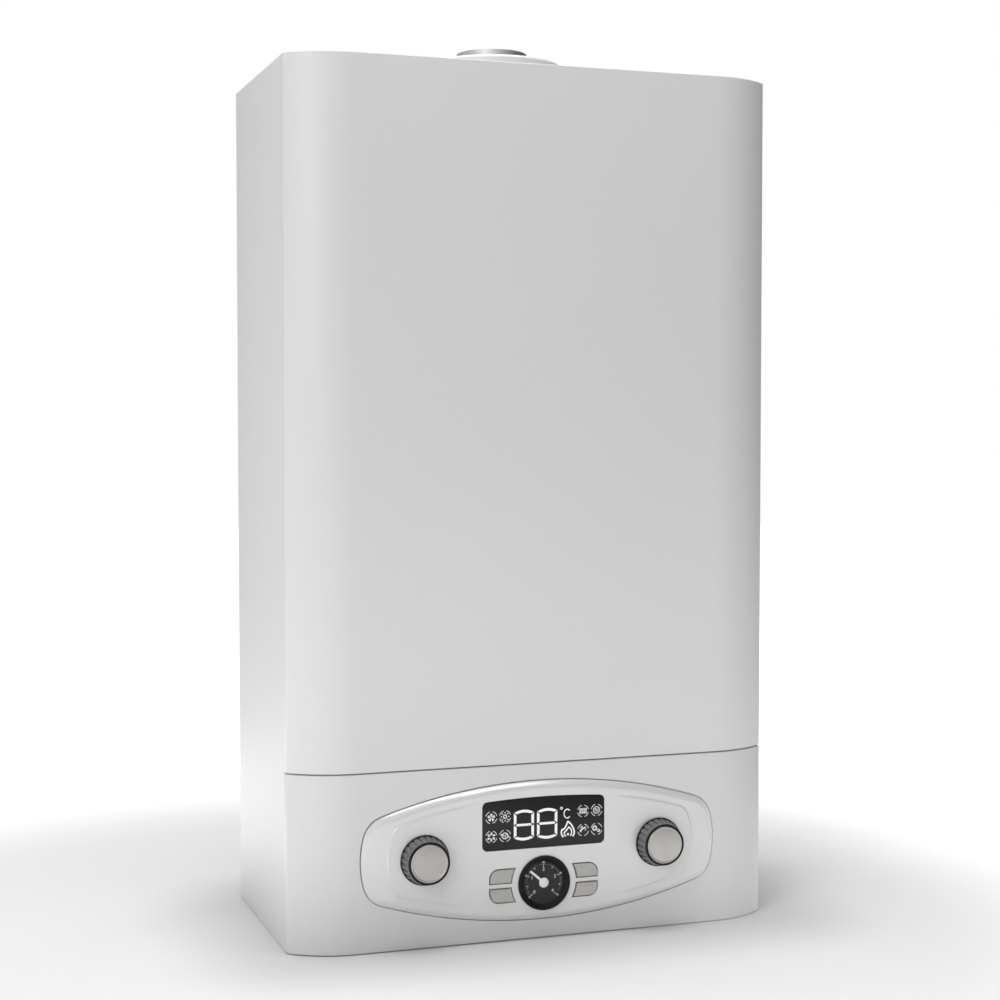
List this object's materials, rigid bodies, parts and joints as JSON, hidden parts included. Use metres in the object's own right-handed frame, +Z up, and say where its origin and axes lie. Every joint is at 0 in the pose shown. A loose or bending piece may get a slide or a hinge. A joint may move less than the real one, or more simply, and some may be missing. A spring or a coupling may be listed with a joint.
{
  "type": "gas boiler",
  "caption": "Slim wall hung gas boiler: white steel casing with rounded front corners, raised control bezel, display, pressure gauge and knobs, flue collar on top.",
  "frame": {"origin": "centre of the whole object's outline seen from above, at the lower edge of the casing", "axes": "+Z up, +Y from the control panel towards the wall, +X to the right as seen from the front"},
  "size_m": [0.41, 0.227, 0.73],
  "materials": {
    "white_steel": "satin white powder coat",
    "white_plastic": "white moulded plastic, low gloss",
    "zinc_steel": "zinc plated sheet",
    "aluminium": "plain aluminium",
    "black_rubber": "matt rubber",
    "clear_glass": "clear",
    "red_paint": "red enamel",
    "stainless": "stainless sheet",
    "ceramic_fibre": "white ceramic",
    "copper": "plain copper",
    "brass": "cast and machined brass",
    "grey_plastic": "dark grey moulded plastic",
    "black_plastic": "black moulded plastic",
    "smoked_window": "smoked clear plastic, glossy",
    "dial_face": "black printed dial",
    "needle_white": "white lacquer",
    "button_grey": "warm grey lacquer, glossy",
    "satin_silver": "satin champagne silver",
    "circuit_green": "green circuit board"
  },
  "bodies": {
    "boiler": {"left_side_panel": "white_steel", "right_side_panel": "white_steel", "top_panel": "white_steel", "back_panel": "zinc_steel", "bottom_plate": "zinc_steel", "flue_gasket": "black_rubber", "flue_collar": "white_steel", "flue_spigot": "aluminium", "sealed_chamber": "zinc_steel", "chamber_cover": "zinc_steel", "sight_glass": "clear_glass", "expansion_vessel": "red_paint", "burner": "stainless", "combustion_chamber": "ceramic_fibre", "ignition_electrode": "ceramic_fibre", "flame_sensor": "ceramic_fibre", "gas_manifold": "aluminium", "heat_exchanger": "copper", "flue_hood": "aluminium", "fan_housing": "zinc_steel", "fan_motor": "zinc_steel", "air_pressure_switch": "grey_plastic", "heating_flow_pipe": "copper", "hot_water_pipe": "copper", "gas_inlet_pipe": "copper", "cold_water_pipe": "copper", "heating_return_pipe": "copper", "primary_flow_pipe": "copper", "primary_return_pipe": "copper", "burner_gas_pipe": "copper", "pump_housing": "brass", "pump_motor": "grey_plastic", "diverter_valve": "brass", "diverter_motor": "black_plastic", "safety_valve": "brass", "plate_heat_exchanger": "stainless", "gas_valve": "aluminium", "filling_tap": "brass", "cable_gland": "black_plastic", "lower_fascia": "white_plastic", "control_bezel": "white_plastic", "display_window": "smoked_window", "gauge_case": "black_plastic", "gauge_dial": "dial_face", "gauge_lens": "clear_glass", "control_box": "grey_plastic", "control_box_lid": "grey_plastic", "circuit_board": "circuit_green"},
    "cover": {"front_cover": "white_steel"},
    "fan_wheel": {"fan_impeller": "zinc_steel"},
    "needle": {"gauge_needle": "needle_white"},
    "left_control": {"left_knob": "grey_plastic", "left_knob_cap": "satin_silver"},
    "right_control": {"right_knob": "grey_plastic", "right_knob_cap": "satin_silver"},
    "upper_left_key": {"upper_left_button": "button_grey"},
    "upper_right_key": {"upper_right_button": "button_grey"},
    "lower_left_key": {"lower_left_button": "button_grey"},
    "lower_right_key": {"lower_right_button": "button_grey"},
    "tap_handle": {"filling_tap_knob": "black_plastic"}
  },
  "joints": [
    {"name": "cover_lift_off", "type": "slide", "parent": "boiler", "child": "cover", "axis": [0, -1, 0], "range_m": [0, 0.3]},
    {"name": "fan_spin", "type": "hinge", "parent": "boiler", "child": "fan_wheel", "pos_m": [-0.055, 0.005, 0.6], "axis": [0, 0, 1], "continuous": true},
    {"name": "needle_turn", "type": "hinge", "parent": "boiler", "child": "needle", "pos_m": [0, -0.0979, 0.0463], "axis": [0, 1, 0], "range_deg": [-84, 182], "stiffness_Nm_per_rad": 0.001},
    {"name": "left_knob_turn", "type": "hinge", "parent": "boiler", "child": "left_control", "pos_m": [-0.1, -0.0999, 0.0722], "axis": [0, 1, 0], "range_deg": [-135, 135]},
    {"name": "right_knob_turn", "type": "hinge", "parent": "boiler", "child": "right_control", "pos_m": [0.1, -0.0999, 0.0722], "axis": [0, 1, 0], "range_deg": [-135, 135]},
    {"name": "upper_left_press", "type": "slide", "parent": "boiler", "child": "upper_left_key", "axis": [0, 1, 0], "range_m": [0, 0.001], "stiffness_N_per_m": 500, "springref_m": -0.001},
    {"name": "upper_right_press", "type": "slide", "parent": "boiler", "child": "upper_right_key", "axis": [0, 1, 0], "range_m": [0, 0.001], "stiffness_N_per_m": 500, "springref_m": -0.001},
    {"name": "lower_left_press", "type": "slide", "parent": "boiler", "child": "lower_left_key", "axis": [0, 1, 0], "range_m": [0, 0.001], "stiffness_N_per_m": 500, "springref_m": -0.001},
    {"name": "lower_right_press", "type": "slide", "parent": "boiler", "child": "lower_right_key", "axis": [0, 1, 0], "range_m": [0, 0.001], "stiffness_N_per_m": 500, "springref_m": -0.001},
    {"name": "tap_handle_turn", "type": "hinge", "parent": "boiler", "child": "tap_handle", "pos_m": [0.0975, 0.006, 0.006], "axis": [0, 0, 1], "range_deg": [0, 90]}
  ]
}
